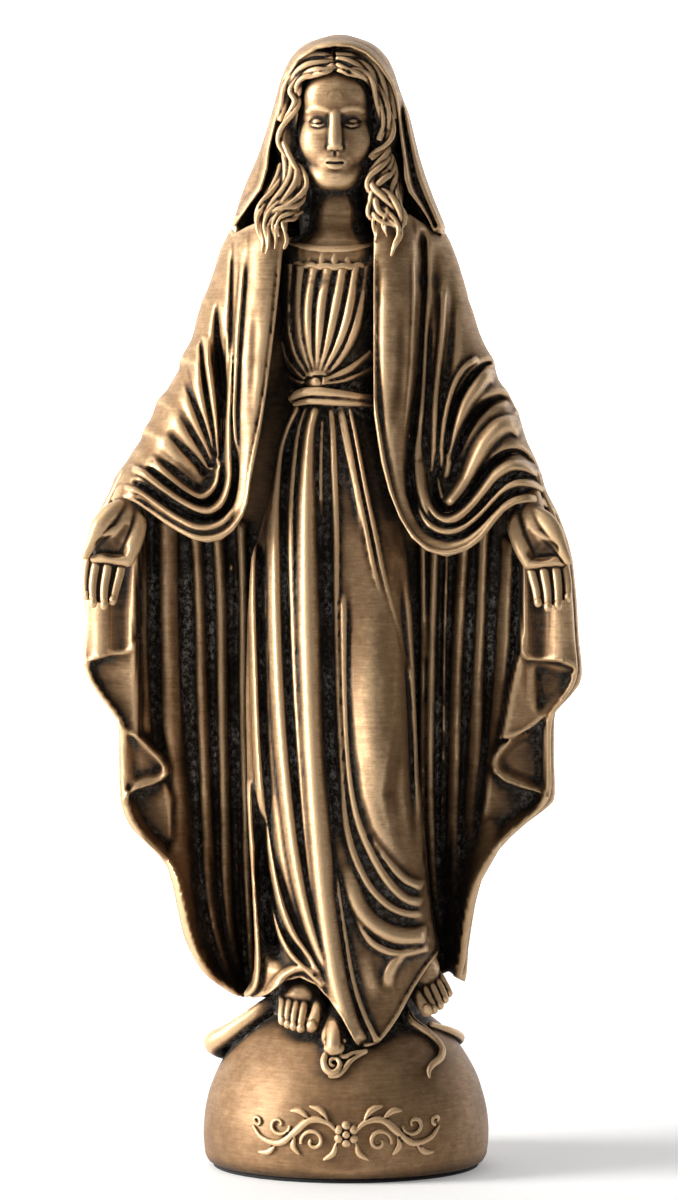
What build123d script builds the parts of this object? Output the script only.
from build123d import *
import os
from math import sin, cos, pi, sqrt, radians

# Standing madonna figure on a globe, cold-cast in sections that are bonded over steel pins.
# Frame: millimetres, +Z up, the figure faces -Y, origin at the centre of the round underside.

os.makedirs("parts", exist_ok=True)

# ---- driving dimensions -------------------------------------------------
HEIGHT = 300.0          # underside to the top of the veil
PAD_T = 1.0             # felt pad thickness
PAD_R = 35.5            # felt pad radius
GLOBE_R = 38.0          # globe radius
GLOBE_Z = 9.0           # height of the globe's centre
RELIEF_T = 1.1          # height of the raised scroll over the globe
WAIST_Z = 203.0         # parting plane between skirt and bodice
SLEEVE_GLUE = 0.05      # radial glue gap round every steel pin
ROD_R = 1.5             # leg rods
ROD_X = 8.0             # leg rods stand at +-ROD_X
ROD_Z0, ROD_Z1 = 22.0, 78.0
NECK_R = 1.5            # neck pin
NECK_Z0, NECK_Z1 = 232.0, 256.0
WRIST_R = 0.8           # wrist pins
WRIST_Z0, WRIST_Z1 = 170.0, 184.0
FLUTES = 15             # folds round the gown
CAPE_T = 3.4            # wall of the mantle's back


def ring_section(z, xc, yc, rx, ry, n, amp, phase, count=45):
    """Closed fluted ellipse at height z."""
    pts = []
    for k in range(count):
        a = 2 * pi * k / count
        f = 1 + amp * cos(n * a + phase)
        pts.append((xc + rx * f * cos(a), yc + ry * f * sin(a)))
    with BuildSketch(Plane.XY.offset(z)) as sk:
        with BuildLine():
            Spline(*pts, periodic=True)
        make_face()
    return sk.sketch


def oval_loft(rows, ruled=False):
    """Loft of plain ellipses; rows are (z, xc, yc, rx, ry)."""
    with BuildPart() as p:
        for z, xc, yc, rx, ry in rows:
            with BuildSketch(Plane.XY.offset(z)):
                with Locations((xc, yc)):
                    Ellipse(rx, ry)
        loft(ruled=ruled)
    return p.part


def take_away(builder, *tools):
    """Removes the neighbours from the open part, then any crumbs that the cuts leave."""
    for tool in tools:
        add(tool, mode=Mode.SUBTRACT)
    pieces = builder.part.solids().sort_by(SortBy.VOLUME)
    for crumb in pieces[:-1]:
        add(crumb, mode=Mode.SUBTRACT)


# ---- base ----------------------------------------------------------------
with BuildPart() as felt_pad:
    Cylinder(PAD_R, PAD_T, align=(Align.CENTER, Align.CENTER, Align.MIN))
    fillet(felt_pad.edges().group_by(Axis.Z)[0], 0.3)
felt_pad.part.label = "felt_pad"
export_step(felt_pad.part, "parts/felt_pad.step")

# The pour hole of the hollow globe, closed with a plug behind the felt.
CAVITY_R = 26.0
PLUG_R = 8.0
with BuildPart() as globe_raw:
    with Locations((0, 0, GLOBE_Z)):
        Sphere(GLOBE_R)
    split(bisect_by=Plane.XY.offset(PAD_T), keep=Keep.TOP)
    fillet(globe_raw.edges().group_by(Axis.Z)[0], 1.5)

with BuildPart() as globe_full:
    with Locations((0, 0, GLOBE_Z)):
        Sphere(GLOBE_R)

with BuildPart() as globe_base:
    add(globe_raw.part)
    with BuildSketch(Plane.XY.offset(PAD_T)):
        Circle(PLUG_R)
    extrude(amount=6, mode=Mode.SUBTRACT)
    with BuildSketch(Plane.XY.offset(PAD_T + 6)):
        Circle(CAVITY_R)
    extrude(amount=9, taper=25, mode=Mode.SUBTRACT)
    for x in (-ROD_X, ROD_X):
        with BuildSketch(Plane.XY.offset(ROD_Z0)):
            with Locations((x, 0)):
                Circle(ROD_R + SLEEVE_GLUE)
        extrude(amount=40, mode=Mode.SUBTRACT)

with BuildPart() as filler_plug:
    with BuildSketch(Plane.XY.offset(PAD_T)):
        Circle(PLUG_R - 0.08)
    extrude(amount=5.5)
    chamfer(filler_plug.edges().group_by(Axis.Z)[-1], 0.6)
filler_plug.part.label = "filler_plug"
export_step(filler_plug.part, "parts/filler_plug.step")

# ---- steel pins ------------------------------------------------------------
with BuildPart() as leg_rods:
    with BuildSketch(Plane.XY.offset(ROD_Z0)):
        with Locations((-ROD_X, 0), (ROD_X, 0)):
            Circle(ROD_R)
    extrude(amount=ROD_Z1 - ROD_Z0)
leg_rods.part.label = "leg_rods"
export_step(leg_rods.part, "parts/leg_rods.step")

with BuildPart() as rod_holes:
    with BuildSketch(Plane.XY.offset(ROD_Z0 - 1)):
        with Locations((-ROD_X, 0), (ROD_X, 0)):
            Circle(ROD_R + SLEEVE_GLUE)
    extrude(amount=ROD_Z1 - ROD_Z0 + 1.3)

NECK_X, NECK_Y = -2.8, -2.0
with BuildPart() as neck_dowel:
    with BuildSketch(Plane.XY.offset(NECK_Z0)):
        with Locations((NECK_X, NECK_Y)):
            Circle(NECK_R)
    extrude(amount=NECK_Z1 - NECK_Z0)
neck_dowel.part.label = "neck_dowel"
export_step(neck_dowel.part, "parts/neck_dowel.step")

with BuildPart() as neck_hole:
    with BuildSketch(Plane.XY.offset(NECK_Z0 - 0.3)):
        with Locations((NECK_X, NECK_Y)):
            Circle(NECK_R + SLEEVE_GLUE)
    extrude(amount=NECK_Z1 - NECK_Z0 + 0.6)

WRISTS = ((-57.5, -12.0), (50.0, -12.0))
with BuildPart() as wrist_dowels:
    with BuildSketch(Plane.XY.offset(WRIST_Z0)):
        with Locations(*WRISTS):
            Circle(WRIST_R)
    extrude(amount=WRIST_Z1 - WRIST_Z0)
wrist_dowels.part.label = "wrist_dowels"
export_step(wrist_dowels.part, "parts/wrist_dowels.step")

with BuildPart() as wrist_holes:
    with BuildSketch(Plane.XY.offset(WRIST_Z0 - 0.3)):
        with Locations(*WRISTS):
            Circle(WRIST_R + SLEEVE_GLUE)
    extrude(amount=WRIST_Z1 - WRIST_Z0 + 0.6)

# ---- mantle, back half -------------------------------------------------------
# rows: z, left half edge x, right half edge x, y of the two front edges, y of the back
CAPE = (
    (44.0, -34.0, 30.5, -1.0, 20.5),
    (55.0, -41.0, 33.0, -3.0, 21.5),
    (75.0, -47.0, 37.0, -5.0, 22.5),
    (95.0, -60.8, 55.8, -7.0, 22.5),
    (130.0, -70.5, 62.0, -8.0, 21.5),
    (165.0, -69.5, 59.5, -7.0, 20.0),
    (185.0, -60.5, 52.0, -3.0, 19.0),
    (205.0, -49.0, 44.0, 0.5, 18.5),
    (225.0, -39.8, 34.3, 1.5, 18.0),
    (247.0, -30.0, 26.0, 2.0, 16.0),
)


def cape_section(z, xl, xr, yf, yb, t, amp, folds=13, count=41):
    """Half ring open to the front: outer curve, two rims, inner curve."""
    outer, inner = [], []
    xc = (xl + xr) / 2
    w = (xr - xl) / 2
    for k in range(count):
        a = -pi / 2 + pi * k / (count - 1)
        f = amp * cos(folds * a) * cos(a)
        outer.append((xc + w * sin(a), yf + (yb - yf) * cos(a) + f))
        inner.append((xc + (w - t) * sin(a), yf + (yb - t - yf) * cos(a) + f))
    with BuildSketch(Plane.XY.offset(z)) as sk:
        with BuildLine():
            Spline(*outer)
            Line(outer[-1], inner[-1])
            Spline(*reversed(inner))
            Line(inner[0], outer[0])
        make_face()
    return sk.sketch


# front-view outline of the mantle (x, z): shoulders, sleeves, cascading side hems, lower edge
MANTLE_OUTLINE = (
    (-24, 262), (-31.0, 247), (-34.6, 240), (-39.9, 225), (-44.2, 214.5), (-50.3, 204), (-55, 193),
    (-62.2, 182.5), (-67.8, 172), (-70.2, 161), (-70.9, 145), (-71.2, 133), (-66, 124), (-61.4, 119),
    (-60.9, 106), (-60.7, 96), (-58, 89.4), (-51.6, 84), (-47.1, 76), (-45, 65.4), (-41, 55), (-36, 48),
    (-28, 43), (0, 41.5), (24, 43), (30, 47.5), (32.6, 49), (32.6, 55), (34, 65.4), (36.4, 76), (41.5, 84), (51.1, 92), (55.9, 97.5),
    (55.7, 118.5), (61.7, 126.5), (63, 130), (62, 145), (61, 161), (58, 172), (52.9, 182.5), (48.4, 193),
    (44.7, 204), (39.4, 214.5), (34.6, 225), (29.8, 240), (26, 250), (20, 262),
)

with BuildPart() as mantle_raw:
    for z, xl, xr, yf, yb in CAPE:
        amp = 1.0 if z < 200 else 0.45
        add(cape_section(z, xl, xr, yf, yb, CAPE_T, amp))
    loft()
    with BuildSketch(Plane.XZ) as mantle_outline:
        with BuildLine():
            Polyline(*MANTLE_OUTLINE, close=True)
        make_face()
    extrude(amount=60, both=True, mode=Mode.INTERSECT)
with BuildPart() as mantle_back:
    add(mantle_raw.part)
    take_away(mantle_back, globe_full.part)
mantle_back.part.label = "mantle_back"
export_step(mantle_back.part, "parts/mantle_back.step")

# ---- gown ------------------------------------------------------------------
SKIRT = (
    (24.0, 2.0, -7.5, 20.0, 21.5, 0.045, 0.6),
    (40.0, 0.5, -7.0, 22.5, 20.5, 0.05, 0.5),
    (60.0, -0.8, -6.0, 23.5, 19.6, 0.055, 0.3),
    (80.0, -2.0, -5.0, 23.6, 19.2, 0.06, 0.15),
    (110.0, -2.6, -4.6, 23.0, 18.2, 0.06, 0.0),
    (140.0, -2.6, -4.3, 21.6, 17.0, 0.06, 0.0),
    (165.0, -2.6, -3.6, 19.3, 15.5, 0.055, 0.0),
    (187.0, -2.8, -2.8, 15.2, 12.6, 0.05, 0.0),
    (WAIST_Z, -3.0, -2.2, 10.8, 9.4, 0.04, 0.0),
)
# hem in the front view: a low tip between two arches that show the feet
HEM = (
    (-40, 210), (-40, 47.5), (-24, 47.5), (-21.5, 44.5), (-15, 48.5), (-8, 48.5), (-2, 44), (3.5, 33.5), (8, 34),
    (13, 40.5), (18, 51), (24, 56), (40, 56), (40, 210),
)
with BuildPart() as skirt_raw:
    for z, xc, yc, rx, ry, amp, ph in SKIRT:
        add(ring_section(z, xc, yc, rx, ry, FLUTES, amp, ph))
    loft()
    with BuildSketch(Plane.XZ):
        with BuildLine():
            Polyline(*HEM, close=True)
        make_face()
    extrude(amount=60, both=True, mode=Mode.INTERSECT)

BODICE = (
    (WAIST_Z, -3.0, -2.2, 10.8, 9.4, 0.035, 0.0),
    (212.0, -3.0, -2.6, 12.2, 10.2, 0.035, 0.0),
    (225.0, -3.0, -2.8, 15.4, 11.8, 0.03, 0.0),
    (236.0, -3.0, -2.4, 17.0, 11.6, 0.02, 0.0),
    (243.0, -3.0, -1.8, 13.0, 9.8, 0.0, 0.0),
)
with BuildPart() as bodice_raw:
    for z, xc, yc, rx, ry, amp, ph in BODICE:
        add(ring_section(z, xc, yc, rx, ry, FLUTES, amp, ph))
    loft()

# ---- feet ------------------------------------------------------------------
def foot(rows, toes):
    """Instep lofted along Y, with five toes; rows are (y, x, z, rx, rz), toes are (x, y, z, r, length)."""
    with BuildPart() as p:
        for y, x, z, rx, rz in rows:
            with BuildSketch(Plane(origin=(x, y, z), x_dir=(1, 0, 0), z_dir=(0, -1, 0))):
                Ellipse(rx, rz)
        loft()
        for x, y, z, r, length in toes:
            with Locations(Location((x, y, z), (90, 0, 0))):
                Cylinder(r, length)
            with Locations((x, y - length / 2, z)):
                Sphere(r)
    return p.part


right_foot_raw = foot(
    ((-8, -8.5, 41.5, 5.0, 4.5), (-15, -9.8, 41.0, 5.4, 4.0), (-21, -11, 39.6, 5.8, 2.6)),
    ((-15.3, -22.2, 38.0, 1.25, 4.0), (-13.0, -23.2, 38.0, 1.3, 4.5), (-10.6, -23.8, 37.9, 1.35, 5.0),
     (-8.2, -24.2, 37.8, 1.4, 5.0), (-5.4, -24.4, 37.9, 1.75, 5.4)),
)
left_foot_raw = foot(
    ((-4, 18.5, 46.0, 4.6, 4.6), (-10, 20.0, 45.0, 5.0, 4.0), (-15, 21.4, 43.2, 5.4, 2.6)),
    ((17.2, -17.2, 41.6, 1.75, 5.4), (19.8, -17.0, 41.8, 1.4, 5.0), (22.0, -16.4, 41.9, 1.35, 4.6),
     (24.0, -15.6, 41.9, 1.3, 4.2), (25.8, -14.6, 41.8, 1.2, 3.6)),
)
with BuildPart() as right_foot:
    add(right_foot_raw)
    take_away(right_foot, globe_full.part)
right_foot.part.label = "right_foot"
export_step(right_foot.part, "parts/right_foot.step")
with BuildPart() as left_foot:
    add(left_foot_raw)
    take_away(left_foot, globe_full.part)
left_foot.part.label = "left_foot"
export_step(left_foot.part, "parts/left_foot.step")

# ---- serpent ------------------------------------------------------------------
def on_globe(az, el, lift=1.2):
    """Point above the globe: azimuth from the front towards +X, elevation above the globe's centre, degrees."""
    r = GLOBE_R + lift
    return (r * cos(radians(el)) * sin(radians(az)), -r * cos(radians(el)) * cos(radians(az)), GLOBE_Z + r * sin(radians(el)))


def serpent_tube(points, radius):
    with BuildPart() as p:
        with BuildLine() as path:
            Spline(*points)
        with BuildSketch(Plane(origin=path.line @ 0, z_dir=path.line % 0)):
            Circle(radius)
        sweep()
    return p.part


serpent_body_raw = serpent_tube(
    [on_globe(-27, 52, 0.8), on_globe(-50, 47, 0.8), on_globe(-78, 37, 0.9), on_globe(-105, 32, 0.9), on_globe(-140, 30, 0.9),
     on_globe(180, 30, 0.9), on_globe(140, 32, 0.9), on_globe(108, 36, 0.9), on_globe(80, 41, 0.8)],
    2.6,
)
serpent_tail_raw = serpent_tube(
    [on_globe(38, 44, 0.5), on_globe(36, 37, 0.5), on_globe(40, 32, 0.5), on_globe(41, 27, 0.5), on_globe(36, 22, 0.4), on_globe(35, 18, 0.4)],
    1.2,
)
with BuildPart() as serpent_head_raw:
    with BuildLine() as head_path:
        Spline(on_globe(-4, 44, 2.0), on_globe(-7, 38, 2.0), on_globe(-6, 31, 1.6))
    with BuildSketch(Plane(origin=head_path.line @ 0, z_dir=head_path.line % 0)):
        Circle(3.2)
    sweep()
    with Locations(on_globe(-5, 27, 1.3)):
        Sphere(2.9)
    with Locations(on_globe(-5, 21, 0.8)):
        Sphere(2.0)

# ---- hands ------------------------------------------------------------------
def hand(rows, fingers, thumb):
    """Palm lofted upward, four fingers and a thumb as rounded bars; bars are (start, end, radius)."""
    with BuildPart() as p:
        for z, x, y, rx, ry in rows:
            with BuildSketch(Plane.XY.offset(z)):
                with Locations((x, y)):
                    Ellipse(rx, ry)
        loft()
        for a, b, r in (*fingers, thumb):
            with BuildLine() as bar:
                Line(a, b)
            with BuildSketch(Plane(origin=bar.line @ 0, z_dir=bar.line % 0)):
                Circle(r)
            sweep(path=bar.line)
            with Locations(b):
                Sphere(r)
            with Locations(a):
                Sphere(r)
    return p.part


right_hand_raw = hand(
    ((158.5, -62.0, -17.2, 5.6, 1.9), (163, -61.4, -16.4, 5.9, 2.2), (168, -60.2, -15.2, 5.4, 2.7), (173, -58.6, -13.6, 4.6, 3.0), (179, -57.3, -12.0, 4.0, 3.2)),
    (((-66.4, -17.2, 159.5), (-66.6, -18.6, 149.5), 1.15), ((-63.4, -17.4, 159.0), (-64.2, -18.9, 147.6), 1.25),
     ((-60.4, -17.4, 159.2), (-61.6, -18.9, 147.4), 1.25), ((-57.6, -17.2, 160.0), (-59.2, -18.6, 149.4), 1.15)),
    ((-63.2, -15.6, 171.0), (-68.6, -17.4, 163.5), 1.45),
)
left_hand_raw = hand(
    ((158.5, 54.0, -17.2, 5.6, 1.9), (163, 53.2, -16.4, 5.9, 2.2), (168, 51.8, -15.2, 5.4, 2.7), (173, 50.6, -13.6, 4.6, 3.0), (179, 50.0, -12.0, 4.0, 3.2)),
    (((58.4, -17.2, 159.5), (58.6, -18.6, 149.5), 1.15), ((55.4, -17.4, 159.0), (56.2, -18.9, 147.6), 1.25),
     ((52.4, -17.4, 159.2), (53.6, -18.9, 147.4), 1.25), ((49.6, -17.2, 160.0), (51.2, -18.6, 149.4), 1.15)),
    ((55.6, -15.6, 171.0), (59.6, -17.4, 161.5), 1.45),
)
with BuildPart() as right_hand:
    add(right_hand_raw)
    take_away(right_hand, wrist_holes.part)
right_hand.part.label = "right_hand"
export_step(right_hand.part, "parts/right_hand.step")
with BuildPart() as left_hand:
    add(left_hand_raw)
    take_away(left_hand, wrist_holes.part)
left_hand.part.label = "left_hand"
export_step(left_hand.part, "parts/left_hand.step")

# ---- mantle, front halves over the arms ---------------------------------------------
def half_section(z, x0, x1, yf, depth, count=17):
    """Bulged slab: flat back at y = yf, rounded front, between x0 and x1."""
    front = []
    for k in range(count):
        a = pi * k / (count - 1)
        front.append(((x0 + x1) / 2 - (x1 - x0) / 2 * cos(a), yf - depth * sin(a) ** 0.6))
    with BuildSketch(Plane.XY.offset(z)) as sk:
        with BuildLine():
            Spline(*front)
            Line(front[-1], front[0])
        make_face()
    return sk.sketch


RIGHT_FRONT = ((155, -71, -24, 0, 15.0), (170, -69.5, -23, 0, 15.5), (185, -61, -22, 0, 16), (205, -49.5, -20, 1, 16), (225, -40.5, -17.5, 2, 15.5), (250, -30, -13.5, 2, 11.5))
LEFT_FRONT = ((155, 14, 62, 0, 15.0), (170, 12.0, 59.5, 0, 15.5), (185, 9.8, 52, 0, 16), (205, 8.2, 44.5, 1, 16), (225, 6.8, 35, 2, 15.5), (250, 7.0, 26, 2, 11.5))
RIGHT_OUT = (
    (-30.5, 250), (-15.5, 250), (-16.2, 236), (-19.5, 212), (-22.3, 196), (-25, 180), (-27.5, 172), (-32, 167), (-37.5, 165.6),
    (-43, 167), (-49.5, 171.8), (-56, 176), (-61.5, 177.2), (-64.5, 175), (-67.5, 169), (-70.2, 163), (-67.8, 172), (-62.2, 182.5),
    (-55, 193), (-50.3, 204), (-44.2, 214.5), (-39.9, 225), (-34.6, 240),
)
LEFT_OUT = (
    (26, 250), (6.5, 250), (6.2, 236), (6.2, 206), (7.8, 190), (11.5, 176), (16, 167.6), (22, 163.8), (28.5, 162.8),
    (35, 165), (40.5, 170.5), (45.5, 175), (50.5, 177.5), (55, 175), (58.5, 169), (60.3, 163), (58, 172), (52.9, 182.5), (48.4, 193),
    (44.7, 204), (39.4, 214.5), (34.6, 225), (29.8, 240),
)


def mantle_front(rows, outline):
    with BuildPart() as p:
        for row in rows:
            add(half_section(*row))
        loft()
        with BuildSketch(Plane.XZ):
            with BuildLine():
                Polyline(*outline, close=True)
            make_face()
        extrude(amount=60, both=True, mode=Mode.INTERSECT)
    return p.part


right_front_raw = mantle_front(RIGHT_FRONT, RIGHT_OUT)
left_front_raw = mantle_front(LEFT_FRONT, LEFT_OUT)


# ---- cascading falls of the mantle's front edges below the hands --------------------
def fall(outline, y0, y1):
    with BuildPart() as p:
        with BuildSketch(Plane.XZ.offset(-y0)):
            with BuildLine():
                Polyline(*outline, close=True)
            make_face()
        extrude(amount=y0 - y1)
    return p.part


RIGHT_FALL = (
    (-69.9, 163.5), (-64.2, 172.5), (-58, 172.5), (-55.5, 163), (-55.2, 137.5), (-61, 135.5), (-70.7, 132.8), (-70.6, 145),
)
LEFT_FALL = (
    (60.2, 163.0), (54.6, 172.5), (48, 172.5), (46.3, 160), (46.3, 137.5), (48, 134.5), (55, 133.6), (61.8, 131), (62.0, 140),
)
right_fall_raw = fall(RIGHT_FALL, -8.0, -11.6)
left_fall_raw = fall(LEFT_FALL, -8.0, -11.6)

# ---- bodice, skirt, sash and fronts cut to meet face to face -------------------------
with BuildPart() as gown_skirt:
    add(skirt_raw.part)
    take_away(gown_skirt, globe_full.part, mantle_back.part, right_foot_raw, left_foot_raw, rod_holes.part)
gown_skirt.part.label = "gown_skirt"
export_step(gown_skirt.part, "parts/gown_skirt.step")
with BuildPart() as gown_bodice:
    add(bodice_raw.part)
    take_away(gown_bodice, mantle_back.part, neck_hole.part)
gown_bodice.part.label = "gown_bodice"
export_step(gown_bodice.part, "parts/gown_bodice.step")

with BuildPart() as sash_raw:
    with BuildSketch(Plane.XY.offset(WAIST_Z - 3.2)):
        with Locations((-3.0, -2.2)):
            Ellipse(13.0, 11.5)
    extrude(amount=6.2)
    fillet(sash_raw.edges().filter_by(GeomType.ELLIPSE), 1.0)
    # loose tail of the sash beside the knot
    with BuildSketch(Plane.XY.offset(WAIST_Z + 0.5)):
        with Locations((-9.5, -11.6)):
            Ellipse(3.2, 2.4)
    extrude(amount=4.5)
with BuildPart() as sash:
    add(sash_raw.part)
    take_away(sash, skirt_raw.part, bodice_raw.part, mantle_back.part)
sash.part.label = "sash"
export_step(sash.part, "parts/sash.step")

# the serpent lies between the globe and the gown
skirt_tools = (globe_full.part, gown_skirt.part, right_foot.part, left_foot.part, mantle_back.part)
with BuildPart() as serpent_body:
    add(serpent_body_raw)
    take_away(serpent_body, *skirt_tools)
serpent_body.part.label = "serpent_body"
export_step(serpent_body.part, "parts/serpent_body.step")
with BuildPart() as serpent_tail:
    add(serpent_tail_raw)
    take_away(serpent_tail, *skirt_tools)
serpent_tail.part.label = "serpent_tail"
export_step(serpent_tail.part, "parts/serpent_tail.step")
with BuildPart() as serpent_head:
    add(serpent_head_raw.part)
    take_away(serpent_head, *skirt_tools)
serpent_head.part.label = "serpent_head"
export_step(serpent_head.part, "parts/serpent_head.step")

# ---- head, hair, veil --------------------------------------------------------------
HEAD_X, HEAD_Y = -2.9, -4.0
head_raw = oval_loft((
    (259.8, HEAD_X, -12.0, 2.4, 2.0), (261.5, HEAD_X, -10.2, 4.8, 5.4), (265.5, HEAD_X, -7.0, 7.4, 10.0), (271, HEAD_X, -4.8, 9.3, 12.6),
    (277, HEAD_X, -3.8, 10.2, 13.6), (283, HEAD_X, -3.2, 10.6, 13.6), (289, HEAD_X, -3.0, 9.4, 11.8), (293.5, HEAD_X, -3.0, 6.4, 8.0), (296, HEAD_X, -3.0, 2.0, 2.6),
))
with BuildPart() as face_parts:
    # nose as a small wedge, with a rounded tip
    with BuildSketch(Plane.XY.offset(276.5)):
        with Locations((HEAD_X, -16.8)):
            Ellipse(0.9, 1.0)
    with BuildSketch(Plane.XY.offset(270.6)):
        with Locations((HEAD_X, -17.0)):
            Ellipse(1.7, 2.3)
    loft()
    with Locations((HEAD_X, -18.6, 270.9)):
        Sphere(1.0)
with BuildPart() as neck_part:
    with BuildSketch(Plane.XY.offset(241.0)):
        with Locations((-2.8, -2.0)):
            Ellipse(8.2, 7.0)
    with BuildSketch(Plane.XY.offset(250.0)):
        with Locations((-2.8, -2.6)):
            Ellipse(6.4, 6.0)
    with BuildSketch(Plane.XY.offset(266.0)):
        with Locations((-2.8, -3.4)):
            Ellipse(6.4, 6.6)
    loft()
with BuildPart() as head_all:
    add(head_raw)
    add(face_parts.part)
    add(neck_part.part)
with BuildPart() as head:
    add(head_all.part)
    take_away(head, bodice_raw.part, neck_hole.part)
head.part.label = "head"
export_step(head.part, "parts/head.step")

ruffle_pts = []
for k in range(60):
    a = 2 * pi * k / 60
    f = 1 + 0.045 * cos(12 * a)
    ruffle_pts.append((11.6 * f * cos(a), 9.8 * f * sin(a)))
with BuildPart() as ruffle_raw:
    with BuildSketch(Plane(origin=(-3.2, -3.2, 242.2), z_dir=(0, -0.30, 1))):
        with BuildLine():
            Spline(*ruffle_pts, periodic=True)
        make_face()
    extrude(amount=3.2)
with BuildPart() as neck_ruffle:
    add(ruffle_raw.part)
    take_away(neck_ruffle, bodice_raw.part, head_all.part, neck_hole.part, mantle_back.part)
neck_ruffle.part.label = "neck_ruffle"
export_step(neck_ruffle.part, "parts/neck_ruffle.step")

# hair: a cap parted in the middle, and a long wavy lock on each side
hair_cap_raw = oval_loft((
    (266, HEAD_X, 0.0, 11.4, 12.4), (275, HEAD_X, -2.6, 12.4, 13.6), (284, HEAD_X, -3.4, 12.6, 14.8), (291, HEAD_X, -3.4, 10.8, 13.0), (295.6, HEAD_X, -3.2, 7.0, 9.0), (297.4, HEAD_X, -3.2, 2.2, 3.0),
))
HAIR_GLUE = 0.04        # glue line between the hair and the veil
hair_cap_clear = oval_loft((
    (266 - HAIR_GLUE, HEAD_X, 0.0, 11.4 + HAIR_GLUE, 12.4 + HAIR_GLUE), (275, HEAD_X, -2.6, 12.4 + HAIR_GLUE, 13.6 + HAIR_GLUE),
    (284, HEAD_X, -3.4, 12.6 + HAIR_GLUE, 14.8 + HAIR_GLUE), (291, HEAD_X, -3.4, 10.8 + HAIR_GLUE, 13.0 + HAIR_GLUE),
    (295.6, HEAD_X, -3.2, 7.0 + HAIR_GLUE, 9.0 + HAIR_GLUE), (297.4 + HAIR_GLUE, HEAD_X, -3.2, 2.2 + HAIR_GLUE, 3.0 + HAIR_GLUE),
))
with BuildPart() as face_window:
    with BuildSketch(Plane.XZ.offset(6.0)):
        with BuildLine():
            Polyline((-13.6, 262), (-13.6, 276), (-11.6, 284), (-7, 288.4), (HEAD_X, 289.6), (1.2, 288.4), (5.8, 284), (7.8, 276), (7.8, 262), close=True)
        make_face()
    extrude(amount=30)
with BuildPart() as hair_crown:
    add(hair_cap_raw)
    take_away(hair_crown, head_all.part, face_window.part)
hair_crown.part.label = "hair_crown"
export_step(hair_crown.part, "parts/hair_crown.step")
RIGHT_LOCK = (
    (239.5, -18.6, -15.8, 1.2, 1.2), (244, -19.4, -15.2, 4.6, 2.6), (251, -18.4, -13.0, 6.2, 4.2), (258, -16.6, -11.2, 5.2, 4.2),
    (265, -14.6, -9.6, 3.6, 3.8), (272, -15.6, -8.8, 2.6, 3.6), (279, -15.0, -8.4, 2.2, 3.4), (285, -13.6, -8.4, 1.4, 2.6),
)
LEFT_LOCK = (
    (239.0, 11.4, -15.8, 1.2, 1.2), (244, 12.4, -15.2, 4.2, 2.6), (251, 12.0, -13.0, 5.8, 4.2), (258, 10.2, -11.2, 4.8, 4.2),
    (265, 8.2, -9.6, 3.4, 3.8), (272, 9.6, -8.8, 2.6, 3.6), (279, 9.2, -8.4, 2.2, 3.4), (285, 7.8, -8.4, 1.4, 2.6),
)

# veil: a thin hood, open at the face, that ends on the shoulders
VEIL = (
    (246.0, -3.0, 3.0, 29.0, 15.5), (254, -3.2, 2.6, 25.6, 15.6), (262, -2.8, 2.0, 22.8, 15.8), (270, -2.6, 1.4, 20.2, 16.2), (278, -2.2, 0.8, 18.2, 16.6),
    (286, -2.0, 0.2, 15.8, 16.4), (292, -1.9, -0.4, 13.6, 14.6), (297, -1.9, -0.8, 9.6, 10.6), (HEIGHT, -1.9, -1.0, 2.6, 3.2),
)
veil_out = oval_loft(VEIL)
veil_in = oval_loft(tuple((z - 2.2, xc, yc, max(rx - 2.2, 0.9), max(ry - 2.2, 1.2)) for z, xc, yc, rx, ry in VEIL))
with BuildPart() as veil_window:
    with BuildSketch(Plane.XZ.offset(5.5)):
        with BuildLine():
            Polyline((-40, 236), (-40, 247), (-19.6, 262), (-16.0, 280), (-12.0, 290), (-7, 294.5), (HEAD_X, 295.8), (2.0, 294.5), (7.6, 290), (12.2, 280), (16.0, 262), (34, 247), (34, 236), close=True)
        make_face()
    extrude(amount=40)
right_lock_raw = oval_loft(RIGHT_LOCK)
left_lock_raw = oval_loft(LEFT_LOCK)
with BuildPart() as veil:
    add(veil_out)
    take_away(veil, veil_in, veil_window.part, hair_cap_clear, head_all.part, mantle_back.part, right_lock_raw, left_lock_raw)
veil.part.label = "veil"
export_step(veil.part, "parts/veil.step")
hair_tools = (head_all.part, hair_cap_raw, veil.part, neck_ruffle.part, bodice_raw.part, mantle_back.part)
with BuildPart() as right_hair_lock:
    add(right_lock_raw)
    take_away(right_hair_lock, *hair_tools)
right_hair_lock.part.label = "right_hair_lock"
export_step(right_hair_lock.part, "parts/right_hair_lock.step")
with BuildPart() as left_hair_lock:
    add(left_lock_raw)
    take_away(left_hair_lock, *hair_tools)
left_hair_lock.part.label = "left_hair_lock"
export_step(left_hair_lock.part, "parts/left_hair_lock.step")

front_tools = (mantle_back.part, gown_skirt.part, gown_bodice.part, sash.part, head.part, neck_ruffle.part, veil.part, wrist_holes.part)
with BuildPart() as mantle_right_front:
    add(right_front_raw)
    take_away(mantle_right_front, *front_tools, right_hand_raw, right_hair_lock.part)
mantle_right_front.part.label = "mantle_right_front"
export_step(mantle_right_front.part, "parts/mantle_right_front.step")
with BuildPart() as mantle_left_front:
    add(left_front_raw)
    take_away(mantle_left_front, *front_tools, left_hand_raw, left_hair_lock.part)
mantle_left_front.part.label = "mantle_left_front"
export_step(mantle_left_front.part, "parts/mantle_left_front.step")
with BuildPart() as mantle_right_fall:
    add(right_fall_raw)
    take_away(mantle_right_fall, mantle_right_front.part, right_hand_raw, mantle_back.part, wrist_holes.part)
mantle_right_fall.part.label = "mantle_right_fall"
export_step(mantle_right_fall.part, "parts/mantle_right_fall.step")
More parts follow.
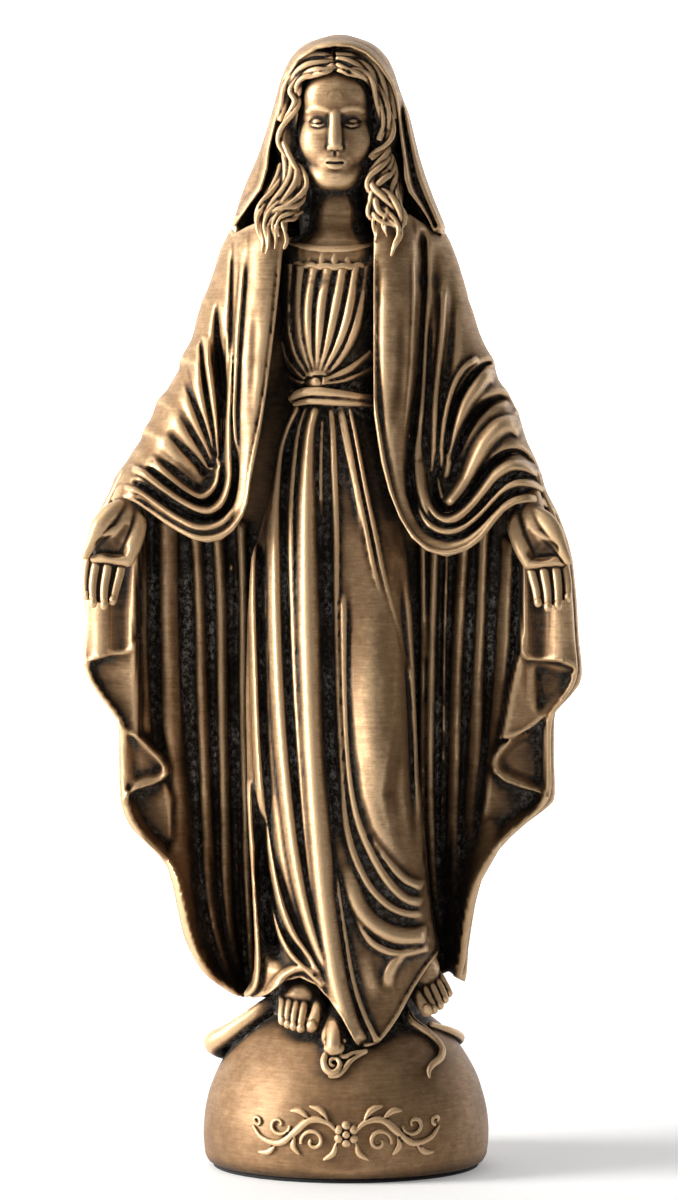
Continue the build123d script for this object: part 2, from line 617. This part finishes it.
with BuildPart() as mantle_left_fall:
    add(left_fall_raw)
    take_away(mantle_left_fall, mantle_left_front.part, left_hand_raw, mantle_back.part, wrist_holes.part)
mantle_left_fall.part.label = "mantle_left_fall"
export_step(mantle_left_fall.part, "parts/mantle_left_fall.step")

globe_base.part.label = "globe_base"
export_step(globe_base.part, "parts/globe_base.step")

# ---- raised scroll on the front of the globe ------------------------------------------
def scroll_curve(x0, z0, r0, r1, a0, turns, sign):
    pts = []
    steps = 14
    for k in range(steps + 1):
        u = k / steps
        r = r0 + (r1 - r0) * u
        a = radians(a0) + sign * turns * 2 * pi * u
        pts.append((x0 + r * cos(a), z0 + r * sin(a)))
    return pts


SCROLL_Z = 12.5
with BuildPart() as scroll_raw:
    for s in (-1, 1):
        for line, width in (
            ([(0.0 * s, SCROLL_Z - 0.5), (5 * s, SCROLL_Z + 2.6), (11 * s, SCROLL_Z + 1.2), (17 * s, SCROLL_Z - 2.0), (23 * s, SCROLL_Z + 0.5)], 1.7),
            ([(p[0] * s, p[1]) for p in scroll_curve(9.5, SCROLL_Z - 1.6, 1.6, 4.2, -60, 1.0, 1)], 1.1),
            ([(p[0] * s, p[1]) for p in scroll_curve(20.0, SCROLL_Z + 1.5, 1.0, 3.0, 120, 0.8, -1)], 1.1),
        ):
            with BuildSketch(Plane.XZ.offset(10)):
                with BuildLine() as stroke:
                    Spline(*line)
                trace(stroke.line, width)
            extrude(amount=40)
    with BuildSketch(Plane.XZ.offset(10)):
        with Locations((0, SCROLL_Z + 0.8)):
            Circle(2.3)
        with Locations(*[(3.3 * cos(radians(90 + 72 * k)), SCROLL_Z + 0.8 + 3.3 * sin(radians(90 + 72 * k))) for k in range(5)]):
            Circle(1.6)
    extrude(amount=40)
    with Locations((0, 0, GLOBE_Z)):
        Sphere(GLOBE_R + RELIEF_T, mode=Mode.INTERSECT)
with BuildPart() as base_ornament:
    add(scroll_raw.part)
    take_away(base_ornament, globe_full.part)
base_ornament.part.label = "base_ornament"
export_step(base_ornament.part, "parts/base_ornament.step")
